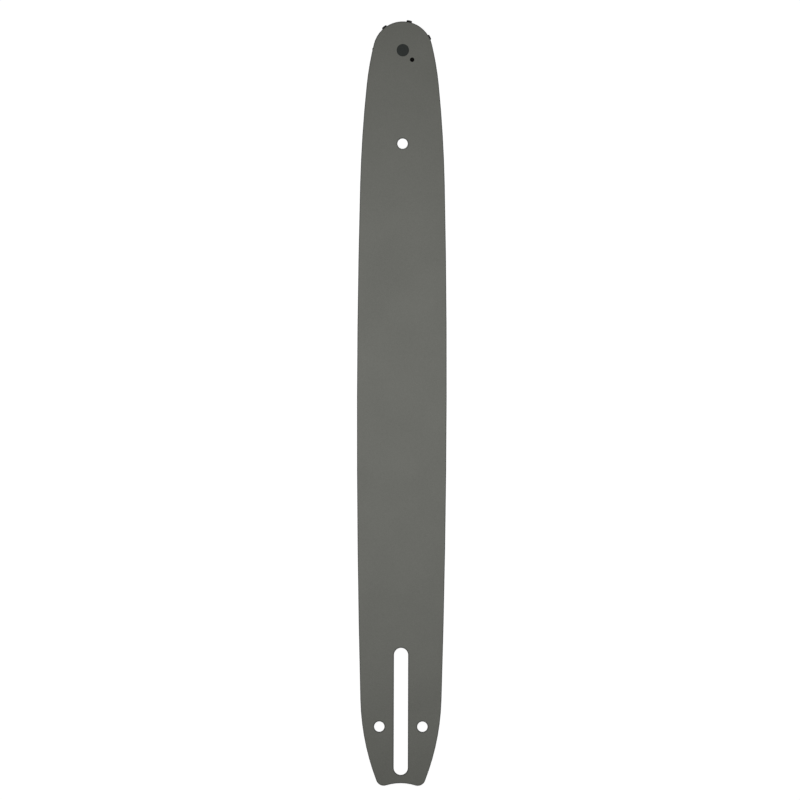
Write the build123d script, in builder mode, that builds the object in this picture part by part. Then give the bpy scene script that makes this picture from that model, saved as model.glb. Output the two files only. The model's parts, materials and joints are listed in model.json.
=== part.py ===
"""Laminated chainsaw guide bar, 40 cm (16 in) class, with a sprocket nose.

Two flat side plates are welded face to face on a narrower core plate, so that the gap between their
edges is the groove that the chain's drive links run in. At the nose the core stops short and leaves a
pocket for a toothed sprocket, which turns on loose rollers round a fixed inner ring. One countersunk
rivet clamps that ring between the side plates.

Frame, in millimetres: the bar lies flat on its rear side plate. The origin is the centre of the stud
slot on the rear face, +Y runs along the bar to the nose, +X to the right seen from the front, +Z is up.
"""

import os
from math import acos, asin, atan, atan2, cos, degrees, floor, hypot, pi, radians, sin

from build123d import *

# Plates: the core's thickness is the chain gauge, 1.3 mm (0.050 in)
plate_thickness = 1.45
core_thickness = 1.3
groove_depth = 6.2
rail_bevel = 0.45
hole_bevel = 0.2

# Outline along the bar
nose_axis_y = 383.5
belly_setback = 201.0
shoulder_setback = 78.0
neck_setback = 20.0
tail_flank_length = 48.1
tail_web = 4.8

# Outline across the bar. The neck's share is counted from the nose arc's side out to the shoulder
belly_width = 52.0
shoulder_drop = 1.46
neck_share = 0.494
tail_drop = 2.47
nose_centre_setback = 0.6
tail_flank_radius = 140.0
tail_hollow_radius = 28.5
tail_corner_fillet = 4.6

# Stud slot, chain tensioner holes and nose hole
slot_length = 73.7
slot_width = 8.2
tensioner_hole_diameter = 6.0
tensioner_hole_spacing = 25.0
tensioner_setback = 8.85
oil_notch_width = 2.4
nose_hole_diameter = 6.0
nose_hole_setback = 54.2

# Nose sprocket, for 3/8 in low-profile chain
tooth_count = 7
sprocket_tip_radius = 17.72
tooth_stand_out = 0.99
tooth_tip_width = 3.6
tooth_tip_round = 0.7
sprocket_rim = 2.45
top_tooth_angle = 77.5
pocket_clearance = 0.8

# Nose bearing: a full complement of rollers, and the rivet through their inner ring
roller_pitch_radius = 7.7
roller_diameter = 2.36
roller_spacing_gap = 0.04
race_clearance = 0.02
end_clearance = 0.05
ring_edge_break = 0.1
rivet_shank_diameter = 4.8
rivet_head_diameter = 7.2
rivet_land = 0.35
rivet_clearance = 0.02
grease_hole_diameter = 2.3
grease_hole_angle = -45.5

# Heights and places worked out from the values above
total_thickness = 2 * plate_thickness + core_thickness
mid_height = total_thickness / 2
nose_reach = sprocket_tip_radius - tooth_stand_out
nose_radius = nose_reach + nose_centre_setback
tail_apex_y = -slot_length / 2 - tail_web
tail_hollow_y = tail_apex_y - tail_hollow_radius
tensioner_x = tensioner_hole_spacing / 2
nose_hole_y = nose_axis_y - nose_hole_setback

# The right-hand rail edge is six arcs, each tangent to the next. A station is where two of them meet.
belly_half = belly_width / 2
belly_y = nose_axis_y - belly_setback
shoulder_y = nose_axis_y - shoulder_setback
shoulder_x = belly_half - shoulder_drop
neck_y = nose_axis_y - neck_setback
neck_x = nose_radius + neck_share * (shoulder_x - nose_radius)
tail_station_y = tail_apex_y + tail_flank_length
tail_station_x = belly_half - tail_drop


def crown_radius(run, drop):
    """Radius of an arc that starts along the bar and falls by drop over the length run."""
    return (run**2 + drop**2) / (2 * drop)


def touching_radius(start, normal, centre, radius):
    """Radius of an arc that starts square to normal and ends where it touches a circle that it encloses."""
    x, y = start[0] - centre[0], start[1] - centre[1]
    return (hypot(x, y) ** 2 - radius**2) / (2 * (x * normal[0] + y * normal[1] - radius))


# Fore and aft of the belly the edge is one long arc each way, both square to the bar's widest line
fore_radius = crown_radius(shoulder_y - belly_y, shoulder_drop)
fore_centre = (belly_half - fore_radius, belly_y)
fore_angle = degrees(asin((shoulder_y - belly_y) / fore_radius))
aft_radius = crown_radius(belly_y - tail_station_y, tail_drop)
aft_centre = (belly_half - aft_radius, belly_y)
aft_angle = degrees(asin((belly_y - tail_station_y) / aft_radius))

# The shoulder arc leaves the fore arc at its station and passes through the neck station
shoulder_normal = (cos(radians(fore_angle)), sin(radians(fore_angle)))
shoulder_radius = touching_radius((shoulder_x, shoulder_y), shoulder_normal, (neck_x, neck_y), 0)
shoulder_centre = (
    shoulder_x - shoulder_radius * shoulder_normal[0],
    shoulder_y - shoulder_radius * shoulder_normal[1],
)

# The neck arc leaves the shoulder arc there and runs into the nose arc
neck_angle = degrees(atan2(neck_y - shoulder_centre[1], neck_x - shoulder_centre[0]))
neck_normal = (cos(radians(neck_angle)), sin(radians(neck_angle)))
nose_centre = (0.0, nose_axis_y - nose_centre_setback)
neck_radius = touching_radius((neck_x, neck_y), neck_normal, nose_centre, nose_radius)
neck_centre = (neck_x - neck_radius * neck_normal[0], neck_y - neck_radius * neck_normal[1])
nose_angle = degrees(atan2(nose_centre[1] - neck_centre[1], nose_centre[0] - neck_centre[0]))

# The tail flank leaves the aft arc at its station and would meet its twin on the centre line
flank_centre = (
    tail_station_x - tail_flank_radius * cos(radians(aft_angle)),
    tail_station_y + tail_flank_radius * sin(radians(aft_angle)),
)

# Sprocket and bearing sizes that follow from their neighbours
roller_radius = roller_diameter / 2
roller_count = floor(pi / asin((roller_diameter + roller_spacing_gap) / 2 / roller_pitch_radius))
inner_ring_radius = roller_pitch_radius - roller_radius - race_clearance
sprocket_bore_radius = roller_pitch_radius + roller_radius + race_clearance
sprocket_root_radius = sprocket_bore_radius + sprocket_rim
running_thickness = core_thickness - 2 * end_clearance
running_z = plate_thickness + end_clearance
gullet_edge_angle = pi / tooth_count - asin(tooth_tip_width / 2 / sprocket_tip_radius)
gullet_centre_radius = (sprocket_tip_radius**2 - sprocket_root_radius**2) / (
    2 * (sprocket_tip_radius * cos(gullet_edge_angle) - sprocket_root_radius)
)
gullet_radius = gullet_centre_radius - sprocket_root_radius
rivet_shank_radius = rivet_shank_diameter / 2
rivet_head_radius = rivet_head_diameter / 2
rivet_head_depth = plate_thickness - rivet_land
rivet_head_angle = 2 * degrees(atan((rivet_head_radius - rivet_shank_radius) / rivet_head_depth))


def bar_outline(inset):
    """Flat shape of the bar with both rail edges moved in by inset. The hollow in the tail stays put."""
    flank_end = -degrees(acos(-flank_centre[0] / (tail_flank_radius - inset)))
    with BuildSketch(Plane.XY) as outline:
        with BuildLine():
            CenterArc(nose_centre, nose_radius - inset, nose_angle, 90 - nose_angle)
            CenterArc(neck_centre, neck_radius - inset, neck_angle, nose_angle - neck_angle)
            CenterArc(shoulder_centre, shoulder_radius - inset, fore_angle, neck_angle - fore_angle)
            CenterArc(fore_centre, fore_radius - inset, 0, fore_angle)
            CenterArc(aft_centre, aft_radius - inset, 0, -aft_angle)
            CenterArc(flank_centre, tail_flank_radius - inset, -aft_angle, flank_end + aft_angle)
            mirror(about=Plane.YZ)
        make_face()
        with Locations((0, tail_hollow_y)):
            Circle(tail_hollow_radius, mode=Mode.SUBTRACT)
    return outline.sketch


def cut_mounting_holes():
    """Stud slot, tensioner holes and nose hole, which pass through all three plates."""
    SlotOverall(slot_length, slot_width, rotation=90, mode=Mode.SUBTRACT)
    with Locations((-tensioner_x, -tensioner_setback), (tensioner_x, -tensioner_setback)):
        Circle(tensioner_hole_diameter / 2, mode=Mode.SUBTRACT)
    with Locations((0, nose_hole_y)):
        Circle(nose_hole_diameter / 2, mode=Mode.SUBTRACT)


def write(piece, name):
    """Labels a finished piece and writes it to its own file."""
    piece.part.label = name
    export_step(piece.part, f"parts/{name}.step")


os.makedirs("parts", exist_ok=True)

# Front side plate: bevelled on its outer face only, so that the inner edges of the groove stay square
with BuildPart() as front_side_plate:
    with BuildSketch(Plane.XY.offset(plate_thickness + core_thickness)) as front_profile:
        add(bar_outline(0))
        fillet(front_profile.vertices().group_by(Axis.Y)[0], tail_corner_fillet)
        cut_mounting_holes()
    extrude(amount=plate_thickness)
    front_face = front_side_plate.faces().sort_by(Axis.Z)[-1]
    chamfer(front_face.outer_wire().edges(), rail_bevel)
    front_face = front_side_plate.faces().sort_by(Axis.Z)[-1]
    chamfer(front_face.inner_wires().edges(), hole_bevel)
    with Locations((0, nose_axis_y, total_thickness)):
        CounterSinkHole(
            rivet_shank_radius + rivet_clearance,
            rivet_head_radius + rivet_clearance,
            depth=plate_thickness,
            counter_sink_angle=rivet_head_angle,
        )
        with PolarLocations(roller_pitch_radius, 1, grease_hole_angle):
            Hole(grease_hole_diameter / 2, depth=plate_thickness)
write(front_side_plate, "front_side_plate")

# Rear side plate: the same plate turned over, so that the bar can be run either way up
with BuildPart() as rear_side_plate:
    mirror(front_side_plate.part, about=Plane.XY.offset(mid_height))
write(rear_side_plate, "rear_side_plate")

# Core plate: its edge is the floor of the groove, and its nose end is the wall of the sprocket pocket
with BuildPart() as core_plate:
    with BuildSketch(Plane.XY.offset(plate_thickness)):
        add(bar_outline(groove_depth))
        cut_mounting_holes()
        with Locations((0, nose_axis_y)):
            Circle(sprocket_tip_radius + pocket_clearance, mode=Mode.SUBTRACT)
        with Locations((-tensioner_x, -tensioner_setback)):
            Rectangle(belly_half, oil_notch_width, align=(Align.MAX, Align.CENTER), mode=Mode.SUBTRACT)
        with Locations((tensioner_x, -tensioner_setback)):
            Rectangle(belly_half, oil_notch_width, align=(Align.MIN, Align.CENTER), mode=Mode.SUBTRACT)
    extrude(amount=core_thickness)
write(core_plate, "core_plate")

# Nose sprocket: round gullets take the drive links, and the rounded tooth tips stand proud of the rails
with BuildPart() as nose_sprocket:
    with BuildSketch(Plane((0, nose_axis_y, running_z))) as sprocket_profile:
        Circle(sprocket_tip_radius)
        with PolarLocations(gullet_centre_radius, tooth_count, top_tooth_angle + 180 / tooth_count):
            Circle(gullet_radius, mode=Mode.SUBTRACT)
        fillet(sprocket_profile.vertices(), tooth_tip_round)
        Circle(sprocket_bore_radius, mode=Mode.SUBTRACT)
    extrude(amount=running_thickness)
write(nose_sprocket, "nose_sprocket")

# Inner ring: clamped between the side plates, it carries the rollers and keeps the plates apart
with BuildPart() as bearing_inner_ring:
    with BuildSketch(Plane((0, nose_axis_y, plate_thickness))):
        Circle(inner_ring_radius)
        Circle(rivet_shank_radius + rivet_clearance, mode=Mode.SUBTRACT)
    extrude(amount=core_thickness)
    ring_rims = bearing_inner_ring.edges().filter_by(GeomType.CIRCLE).group_by(SortBy.RADIUS)[-1]
    chamfer(ring_rims, ring_edge_break)
write(bearing_inner_ring, "bearing_inner_ring")

# Rivet: a plain shank with a countersunk head closed flush in each side plate
with BuildPart() as nose_rivet:
    with BuildSketch(Plane((0, nose_axis_y, 0), x_dir=(1, 0, 0), z_dir=(0, -1, 0))):
        with BuildLine():
            Polyline(
                (0, 0),
                (rivet_head_radius, 0),
                (rivet_shank_radius, rivet_head_depth),
                (rivet_shank_radius, total_thickness - rivet_head_depth),
                (rivet_head_radius, total_thickness),
                (0, total_thickness),
                close=True,
            )
        make_face()
    revolve(axis=Axis((0, nose_axis_y, 0), (0, 0, 1)))
write(nose_rivet, "nose_rivet")

# Bearing rollers: loose in the race between the inner ring and the sprocket's bore, one under the grease hole
for number in range(roller_count):
    angle = radians(grease_hole_angle + 360 * number / roller_count)
    roller_x = roller_pitch_radius * cos(angle)
    roller_y = nose_axis_y + roller_pitch_radius * sin(angle)
    with BuildPart() as bearing_roller:
        with BuildSketch(Plane((roller_x, roller_y, running_z))):
            Circle(roller_radius)
        extrude(amount=running_thickness)
    write(bearing_roller, f"bearing_roller_{number + 1:02d}")
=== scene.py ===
"""Looks of the chainsaw guide bar: a satin grey coat on both side plates, bare ground steel on the rails
and in the chain groove, a black sprocket in the nose and a dark rivet on its axis.

Lengths are in metres, in the CAD model's frame: the bar lies flat, +Y runs to the nose and +Z is up.
"""

import json
from math import cos, pi, radians, sin

import bpy
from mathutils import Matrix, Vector


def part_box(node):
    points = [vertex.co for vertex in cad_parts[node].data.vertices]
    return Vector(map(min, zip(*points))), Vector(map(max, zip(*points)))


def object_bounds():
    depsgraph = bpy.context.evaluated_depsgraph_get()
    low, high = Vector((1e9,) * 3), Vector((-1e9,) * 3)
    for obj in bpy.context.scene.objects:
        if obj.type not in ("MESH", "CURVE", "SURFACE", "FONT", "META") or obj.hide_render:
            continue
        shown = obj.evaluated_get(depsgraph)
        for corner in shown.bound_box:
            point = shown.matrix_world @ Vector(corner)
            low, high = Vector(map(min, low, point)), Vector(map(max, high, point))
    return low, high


mm = 0.001

# How the bar lies in the photograph: the slot's centre, the size of a pixel and the bar's lean to the right
picture_side = 800
slot_centre_pixel = (400.89, 711.4)
pixel_size = 0.58 * mm
bar_lean = radians(0.1703)

# The photograph shows no perspective, so the lens is very long. Blender takes these two in millimetres
camera_lens = 1000.0
camera_sensor = 36.0

# Studio: one soft box above the middle of the bar, an even fill all round and a white floor
soft_box_length = 0.43
soft_box_width = 0.40
soft_box_height = 0.30
soft_box_along = 0.192
soft_box_across = -0.025
soft_box_watts = 0.885
fill_strength = 0.30
floor_side = 12.0
floor_gap = 0.05 * mm
floor_glow = 0.95

# The stud slot's size, which the record gives only in words
slot_length = 73.7 * mm
slot_width = 8.2 * mm

# Painted shade and grease on the side plates. Round each opening the coat gets painted shade of the rim, which is
# whole within the first distance from the edge and fades out by the second. The reach of the black in and round
# the grease hole, which is grease and painted shade of the hole, is from the middle of its hole
rim_shade_start = 0.45 * mm
rim_shade_end = 0.85 * mm
grease_and_shade_reach = 1.30 * mm

# A face is a bevel, or steeper, if its normal's part along Z is under the first of these, and upright if it
# is under the second
bevel_slope = 0.95
upright_slope = 0.35

# How far outside the groove a point still counts as being on its walls
groove_margin = 0.02 * mm

# Share of the powder's flecks in the coat's tone and in its relief, and height of the rails' scratches
# beside the coat's waves
fleck_tone = 0.6
fleck_relief = 0.2
scratch_relief = 0.2

# Sockets of Blender's mix node by number, because those for values and colours have the same names
SHARE = 0
VALUE_A, VALUE_B, VALUE_OUT = 2, 3, 0
COLOUR_A, COLOUR_B, COLOUR_OUT = 6, 7, 2

# Places read from the CAD model. The first roller lies right under the grease hole
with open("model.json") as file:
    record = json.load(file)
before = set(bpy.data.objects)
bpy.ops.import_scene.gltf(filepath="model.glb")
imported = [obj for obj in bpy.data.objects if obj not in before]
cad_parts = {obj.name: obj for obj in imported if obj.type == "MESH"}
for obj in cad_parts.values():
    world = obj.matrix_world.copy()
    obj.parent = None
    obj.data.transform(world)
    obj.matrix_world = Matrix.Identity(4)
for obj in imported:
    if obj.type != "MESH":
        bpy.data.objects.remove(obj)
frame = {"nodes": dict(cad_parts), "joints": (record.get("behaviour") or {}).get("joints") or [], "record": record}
cad_low, cad_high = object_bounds()
core_low, core_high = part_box("core_plate")
mid_height = (core_low.z + core_high.z) / 2
groove_half = (core_high.z - core_low.z) / 2
roller_low, roller_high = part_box("bearing_roller_01")
grease_hole = (roller_low + roller_high) / 2
joints = {joint["name"]: joint for joint in frame["joints"]}
nose_axis = Vector(joints["sprocket_spin"]["pos_m"])


def linear(hex_colour):
    """A colour written as sRGB hex, in the linear values that shaders take."""
    levels = [int(hex_colour[i : i + 2], 16) / 255 for i in (1, 3, 5)]
    return [v / 12.92 if v <= 0.04045 else ((v + 0.055) / 1.055) ** 2.4 for v in levels] + [1.0]


def per(size):
    """Scale of a pattern whose features are that many metres apart."""
    return 1 / size


def add(tree, kind, sockets, **settings):
    """Adds a shader node. Each socket gets a value, or a link if the value is another node's socket."""
    made = tree.nodes.new("ShaderNode" + kind)
    for name, value in settings.items():
        setattr(made, name, value)
    for key, value in sockets.items():
        if isinstance(value, bpy.types.NodeSocket):
            tree.links.new(value, made.inputs[key])
        else:
            made.inputs[key].default_value = value
    return made


def new_material(name):
    """An empty material, and its node tree."""
    material = bpy.data.materials.new(name)
    material.use_nodes = True
    material.node_tree.nodes.clear()
    return material, material.node_tree


def dress(material, *nodes):
    """Puts a material on CAD nodes."""
    for name in nodes:
        for slot in frame["nodes"][name].material_slots:
            slot.material = material


def distance_from_openings(tree, from_above):
    """How far a point lies, seen from above, from the edge of the nearest hole or of the slot."""
    # An opening is all that lies within its reach of the line between its two ends. A hole's ends are one
    # point
    bores = [mount for mount in frame["record"]["mounts"] if mount["kind"] == "bore"]
    openings = [(Vector(bore["pos_m"]), Vector(bore["pos_m"]), bore["dims"]["r_mm"] * mm) for bore in bores]
    slot_end = Vector((0, (slot_length - slot_width) / 2, 0))
    openings.append((-slot_end, slot_end, slot_width / 2))
    # No point of the bar is farther than this from an opening
    nearest = cad_high.y
    for low, high, reach in openings:
        below = add(tree, "VectorMath", {0: from_above, 1: (high.x, high.y, 0)}, operation="MINIMUM")
        inside = add(tree, "VectorMath", {0: below.outputs[0], 1: (low.x, low.y, 0)}, operation="MAXIMUM")
        away = add(tree, "VectorMath", {0: from_above, 1: inside.outputs[0]}, operation="DISTANCE")
        outside = add(tree, "Math", {0: away.outputs["Value"], 1: reach}, operation="SUBTRACT")
        nearest = add(tree, "Math", {0: nearest, 1: outside.outputs[0]}, operation="MINIMUM").outputs[0]
    return nearest


def bare_steel_zone(tree, place, slope, from_opening):
    """1 on the plates' running edges and inner faces, which the coat doesn't reach, and 0 elsewhere."""
    height = add(tree, "SeparateXYZ", {"Vector": place}).outputs["Z"]
    from_middle = add(tree, "Math", {0: height, 1: mid_height}, operation="SUBTRACT")
    depth = add(tree, "Math", {0: from_middle.outputs[0]}, operation="ABSOLUTE")
    inner = add(tree, "Math", {0: depth.outputs[0], 1: groove_half + groove_margin}, operation="LESS_THAN")
    upright = add(tree, "Math", {0: slope, 1: upright_slope}, operation="LESS_THAN")
    # The walls of the slot and of the three holes are coated too
    outside = add(tree, "Math", {0: from_opening, 1: rim_shade_end}, operation="GREATER_THAN")
    rail = add(tree, "Math", {0: upright.outputs[0], 1: outside.outputs[0]}, operation="MULTIPLY")
    return add(tree, "Math", {0: inner.outputs[0], 1: rail.outputs[0]}, operation="MAXIMUM").outputs[0]


def painted_edge_shade_zone(tree, slope, from_opening):
    """1 on bevels and rims, where the coat is painted darker as painted shade of the edges, and 0 elsewhere."""
    bevel = add(tree, "Math", {0: slope, 1: bevel_slope}, operation="LESS_THAN")
    rim = add(
        tree,
        "MapRange",
        {
            "Value": from_opening,
            "From Min": rim_shade_start,
            "From Max": rim_shade_end,
            "To Min": 1.0,
            "To Max": 0.0,
        },
    )
    return add(tree, "Math", {0: bevel.outputs[0], 1: rim.outputs["Result"]}, operation="MAXIMUM").outputs[0]


def grease_and_hole_shade_zone(tree, from_above):
    """1 in the grease hole and a narrow ring round it, black with grease and painted shade of the hole; 0
    elsewhere.
    """
    centre = (grease_hole.x, grease_hole.y, 0)
    away = add(tree, "VectorMath", {0: from_above, 1: centre}, operation="DISTANCE")
    return add(tree, "Math", {0: away.outputs["Value"], 1: grease_and_shade_reach}, operation="LESS_THAN").outputs[0]


def satin_powder_coat_on_steel_sheet():
    """Powder coat, baked on: an even satin grey with a faint orange peel, over a ground steel sheet."""
    material, tree = new_material("satin_powder_coat_on_steel_sheet")
    coords = add(tree, "TexCoord", {})
    place = coords.outputs["Object"]
    from_above = add(tree, "VectorMath", {0: place, 1: (1, 1, 0)}, operation="MULTIPLY").outputs[0]
    facing = add(tree, "SeparateXYZ", {"Vector": coords.outputs["Normal"]}).outputs["Z"]
    slope = add(tree, "Math", {0: facing}, operation="ABSOLUTE").outputs[0]
    from_opening = distance_from_openings(tree, from_above)
    bare = bare_steel_zone(tree, place, slope, from_opening)
    # Painted shade on the bevels and round the openings' rims
    edge_shade = painted_edge_shade_zone(tree, slope, from_opening)
    # Grease and painted shade of the hole: black in the grease hole and in a ring round it
    grease = grease_and_hole_shade_zone(tree, from_above)
    # The coat's tone drifts a little over a few centimetres, as the powder lies thicker and thinner. Its
    # grains melt into flecks about 0.1 mm across, which are drawn at 0.4 mm to show
    drift = add(tree, "TexNoise", {"Vector": place, "Scale": per(30 * mm), "Detail": 2.0})
    flecks = add(tree, "TexNoise", {"Vector": place, "Scale": per(0.4 * mm), "Detail": 1.0})
    tone = add(
        tree, "Mix", {SHARE: fleck_tone, VALUE_A: drift.outputs["Fac"], VALUE_B: flecks.outputs["Fac"]}
    )
    unshaded_coat = add(
        tree,
        "Mix",
        {SHARE: tone.outputs[VALUE_OUT], COLOUR_A: linear("#4D4E47"), COLOUR_B: linear("#686962")},
        data_type="RGBA",
    )
    # On bevels and round the openings the coat is painted half as bright: painted shade of the edges
    coat = add(
        tree,
        "Mix",
        {SHARE: edge_shade, COLOUR_A: unshaded_coat.outputs[COLOUR_OUT], COLOUR_B: linear("#BBBBBB")},
        data_type="RGBA",
        blend_type="MULTIPLY",
    )
    # Grinding lines follow the rails round the bar. Real ones are 0.02 mm apart, and are drawn at 0.2 mm
    # to show
    stretched = add(
        tree, "VectorMath", {0: place, 1: (per(9 * mm), per(9 * mm), per(0.2 * mm))}, operation="MULTIPLY"
    )
    lines = add(tree, "TexNoise", {"Vector": stretched.outputs[0], "Scale": 1.0, "Detail": 2.0})
    steel = add(
        tree,
        "Mix",
        {SHARE: lines.outputs["Fac"], COLOUR_A: linear("#8E8C88"), COLOUR_B: linear("#B4B2AE")},
        data_type="RGBA",
    )
    dry_colour = add(
        tree,
        "Mix",
        {SHARE: bare, COLOUR_A: coat.outputs[COLOUR_OUT], COLOUR_B: steel.outputs[COLOUR_OUT]},
        data_type="RGBA",
    )
    # Black in and round the grease hole, as grease and painted shade of the hole. Graphite grease has hardly any
    # gloss. Counted as a metal of its own black, it loses the coat's gloss
    colour = add(
        tree,
        "Mix",
        {SHARE: grease, COLOUR_A: dry_colour.outputs[COLOUR_OUT], COLOUR_B: linear("#070706")},
        data_type="RGBA",
    )
    metal = add(tree, "Math", {0: bare, 1: grease}, operation="MAXIMUM")
    # Orange peel: waves about 1.5 mm long and about a hundredth of a millimetre high
    peel = add(tree, "TexNoise", {"Vector": place, "Scale": per(1.5 * mm), "Detail": 1.0})
    sheen = add(tree, "MapRange", {"Value": peel.outputs["Fac"], "To Min": 0.44, "To Max": 0.52})
    ground = add(tree, "MapRange", {"Value": lines.outputs["Fac"], "To Min": 0.28, "To Max": 0.42})
    roughness = add(
        tree, "Mix", {SHARE: bare, VALUE_A: sheen.outputs["Result"], VALUE_B: ground.outputs["Result"]}
    )
    waves = add(
        tree, "Mix", {SHARE: fleck_relief, VALUE_A: peel.outputs["Fac"], VALUE_B: flecks.outputs["Fac"]}
    )
    scratches = add(
        tree, "MapRange", {"Value": lines.outputs["Fac"], "To Min": 0.0, "To Max": scratch_relief}
    )
    relief = add(
        tree, "Mix", {SHARE: bare, VALUE_A: waves.outputs[VALUE_OUT], VALUE_B: scratches.outputs["Result"]}
    )
    skin = add(tree, "Bump", {"Height": relief.outputs[VALUE_OUT], "Distance": 0.03 * mm, "Strength": 1.0})
    shader = add(
        tree,
        "BsdfPrincipled",
        {
            "Base Color": colour.outputs[COLOUR_OUT],
            "Metallic": metal.outputs[0],
            "Roughness": roughness.outputs[VALUE_OUT],
            "Normal": skin.outputs["Normal"],
        },
    )
    add(tree, "OutputMaterial", {"Surface": shader.outputs["BSDF"]})
    return material


def cold_rolled_steel_with_cut_edge():
    """Cold-rolled sheet steel, bare: dull grey, with the fine upright lines that a cut leaves on its edge."""
    material, tree = new_material("cold_rolled_steel_with_cut_edge")
    place = add(tree, "TexCoord", {}).outputs["Object"]
    # Cut lines stand across the edge. Real ones are 0.1 mm apart, and are drawn at 0.5 mm to show
    stretched = add(
        tree, "VectorMath", {0: place, 1: (per(0.5 * mm), per(0.5 * mm), per(12 * mm))}, operation="MULTIPLY"
    )
    lines = add(tree, "TexNoise", {"Vector": stretched.outputs[0], "Scale": 1.0, "Detail": 2.0})
    colour = add(
        tree,
        "Mix",
        {SHARE: lines.outputs["Fac"], COLOUR_A: linear("#6E6C69"), COLOUR_B: linear("#8F8D89")},
        data_type="RGBA",
    )
    roughness = add(tree, "MapRange", {"Value": lines.outputs["Fac"], "To Min": 0.38, "To Max": 0.55})
    edge = add(tree, "Bump", {"Height": lines.outputs["Fac"], "Distance": 0.02 * mm, "Strength": 1.0})
    shader = add(
        tree,
        "BsdfPrincipled",
        {
            "Base Color": colour.outputs[COLOUR_OUT],
            "Metallic": 1.0,
            "Roughness": roughness.outputs["Result"],
            "Normal": edge.outputs["Normal"],
        },
    )
    add(tree, "OutputMaterial", {"Surface": shader.outputs["BSDF"]})
    return material


def black_oxide_on_hardened_steel():
    """Hardened steel, blackened in a hot salt bath: a thin, slightly cloudy black skin with a low sheen."""
    material, tree = new_material("black_oxide_on_hardened_steel")
    place = add(tree, "TexCoord", {}).outputs["Object"]
    cloud = add(tree, "TexNoise", {"Vector": place, "Scale": per(2.5 * mm), "Detail": 4.0})
    colour = add(
        tree,
        "Mix",
        {SHARE: cloud.outputs["Fac"], COLOUR_A: linear("#141413"), COLOUR_B: linear("#1F1F1E")},
        data_type="RGBA",
    )
    roughness = add(tree, "MapRange", {"Value": cloud.outputs["Fac"], "To Min": 0.42, "To Max": 0.60})
    shader = add(
        tree,
        "BsdfPrincipled",
        {
            "Base Color": colour.outputs[COLOUR_OUT],
            "Metallic": 1.0,
            "Roughness": roughness.outputs["Result"],
        },
    )
    add(tree, "OutputMaterial", {"Surface": shader.outputs["BSDF"]})
    return material


def phosphated_steel_pressed_flush():
    """Phosphated steel, pressed flush by a turning tool: dark grey, with faint rings round its axis."""
    material, tree = new_material("phosphated_steel_pressed_flush")
    place = add(tree, "TexCoord", {}).outputs["Object"]
    from_axis = add(tree, "VectorMath", {0: place, 1: nose_axis}, operation="SUBTRACT")
    # The tool's rings are 0.1 mm apart, and are drawn at 0.7 mm to show. The texture's phase is 20 times the
    # scaled distance from the axis
    rings = add(
        tree,
        "TexWave",
        {"Vector": from_axis.outputs[0], "Scale": 2 * pi / 20 * per(0.7 * mm), "Distortion": 0.6},
        wave_type="RINGS",
        rings_direction="Z",
    )
    colour = add(
        tree,
        "Mix",
        {SHARE: rings.outputs["Fac"], COLOUR_A: linear("#2D302E"), COLOUR_B: linear("#353837")},
        data_type="RGBA",
    )
    roughness = add(tree, "MapRange", {"Value": rings.outputs["Fac"], "To Min": 0.45, "To Max": 0.58})
    marks = add(tree, "Bump", {"Height": rings.outputs["Fac"], "Distance": 0.008 * mm, "Strength": 1.0})
    shader = add(
        tree,
        "BsdfPrincipled",
        {
            "Base Color": colour.outputs[COLOUR_OUT],
            "Metallic": 1.0,
            "Roughness": roughness.outputs["Result"],
            "Normal": marks.outputs["Normal"],
        },
    )
    add(tree, "OutputMaterial", {"Surface": shader.outputs["BSDF"]})
    return material


def bearing_steel_packed_in_black_grease():
    """Ground bearing steel under graphite grease: the grease covers it, so the grease hole looks black."""
    material, tree = new_material("bearing_steel_packed_in_black_grease")
    place = add(tree, "TexCoord", {}).outputs["Object"]
    smear = add(tree, "TexNoise", {"Vector": place, "Scale": per(0.8 * mm), "Detail": 3.0})
    colour = add(
        tree,
        "Mix",
        {SHARE: smear.outputs["Fac"], COLOUR_A: linear("#040404"), COLOUR_B: linear("#0A0A09")},
        data_type="RGBA",
    )
    roughness = add(tree, "MapRange", {"Value": smear.outputs["Fac"], "To Min": 0.55, "To Max": 0.75})
    shader = add(
        tree,
        "BsdfPrincipled",
        {
            "Base Color": colour.outputs[COLOUR_OUT],
            "Roughness": roughness.outputs["Result"],
            "Specular IOR Level": 0.1,
        },
    )
    add(tree, "OutputMaterial", {"Surface": shader.outputs["BSDF"]})
    return material


def white_floor():
    """A plain white floor that glows, so that it stays white right up to the bar."""
    half = floor_side / 2
    corners = [(x, y, -floor_gap) for x, y in ((-half, -half), (half, -half), (half, half), (-half, half))]
    mesh = bpy.data.meshes.new("floor")
    mesh.from_pydata(corners, [], [(0, 1, 2, 3)])
    floor = bpy.data.objects.new("floor", mesh)
    bpy.context.scene.collection.objects.link(floor)
    material, tree = new_material("matt_white_paper")
    shader = add(
        tree,
        "BsdfPrincipled",
        {
            "Base Color": linear("#6C6C6C"),
            "Roughness": 0.9,
            "Specular IOR Level": 0.0,
            "Emission Color": linear("#FFFFFF"),
            "Emission Strength": floor_glow,
        },
    )
    add(tree, "OutputMaterial", {"Surface": shader.outputs["BSDF"]})
    mesh.materials.append(material)


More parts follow.
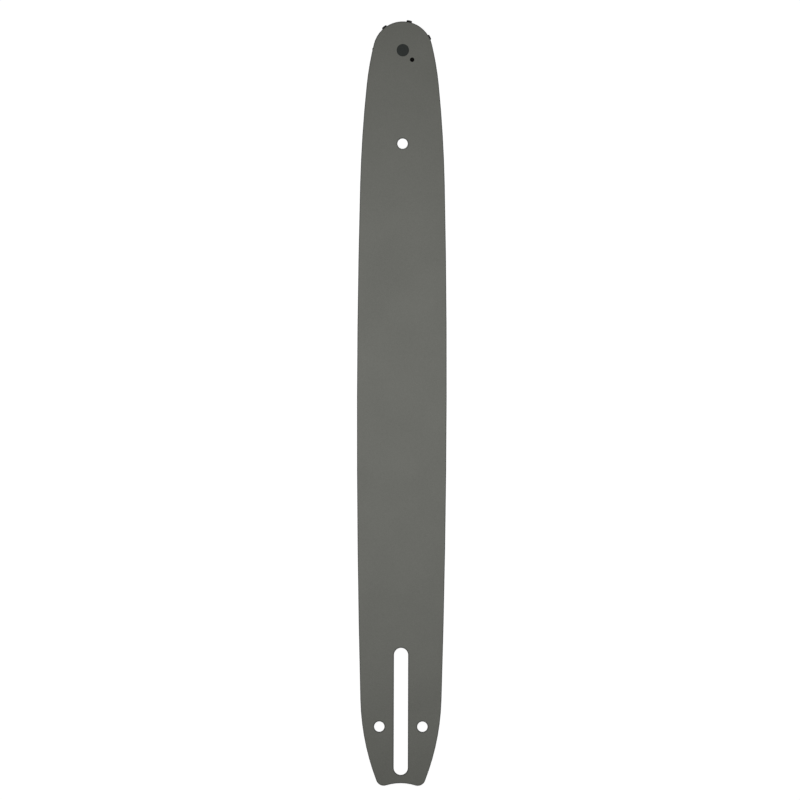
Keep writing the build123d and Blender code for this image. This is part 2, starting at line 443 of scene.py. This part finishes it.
def soft_box_above():
    """A soft box facing straight down. It lights the bar and shows in its gloss, but not to the camera."""
    light = bpy.data.lights.new("soft_box", "AREA")
    light.shape = "RECTANGLE"
    light.size = soft_box_width
    light.size_y = soft_box_length
    light.energy = soft_box_watts
    soft_box = bpy.data.objects.new("soft_box", light)
    soft_box.location = (soft_box_across, soft_box_along, cad_high.z + soft_box_height)
    soft_box.visible_camera = False
    bpy.context.scene.collection.objects.link(soft_box)


def fill_all_round():
    """An even fill from all sides. To the camera itself the studio's walls are as white as the floor."""
    world = bpy.data.worlds.new("studio")
    world.use_nodes = True
    tree = world.node_tree
    tree.nodes.clear()
    fill = add(tree, "Background", {"Color": linear("#FFFFFF"), "Strength": fill_strength})
    walls = add(tree, "Background", {"Color": linear("#FFFFFF"), "Strength": 1.0})
    seen = add(tree, "LightPath", {}).outputs["Is Camera Ray"]
    both = add(tree, "MixShader", {0: seen, 1: fill.outputs[0], 2: walls.outputs[0]})
    add(tree, "OutputWorld", {"Surface": both.outputs[0]})
    bpy.context.scene.world = world


def camera_above():
    """The photograph's camera: straight above the bar, with the slot's centre on its pixel."""
    right = Vector((cos(bar_lean), sin(bar_lean), 0))
    up = Vector((-sin(bar_lean), cos(bar_lean), 0))
    middle = picture_side / 2
    across = (middle - slot_centre_pixel[0]) * pixel_size
    along = (slot_centre_pixel[1] - middle) * pixel_size
    distance = picture_side * pixel_size * camera_lens / camera_sensor
    data = bpy.data.cameras.new("camera")
    data.lens = camera_lens
    data.sensor_width = camera_sensor
    camera = bpy.data.objects.new("camera", data)
    camera.location = across * right + along * up + Vector((0, 0, cad_high.z + distance))
    camera.rotation_euler = (0, 0, bar_lean)
    bpy.context.scene.collection.objects.link(camera)
    bpy.context.scene.camera = camera


rollers = [name for name in frame["nodes"] if name.startswith("bearing_roller")]
dress(satin_powder_coat_on_steel_sheet(), "front_side_plate", "rear_side_plate")
dress(cold_rolled_steel_with_cut_edge(), "core_plate")
dress(black_oxide_on_hardened_steel(), "nose_sprocket")
dress(phosphated_steel_pressed_flush(), "nose_rivet")
dress(bearing_steel_packed_in_black_grease(), "bearing_inner_ring", *rollers)
white_floor()
soft_box_above()
fill_all_round()
camera_above()
# No film curve, so that the white floor comes out white
bpy.context.scene.view_settings.view_transform = "Standard"
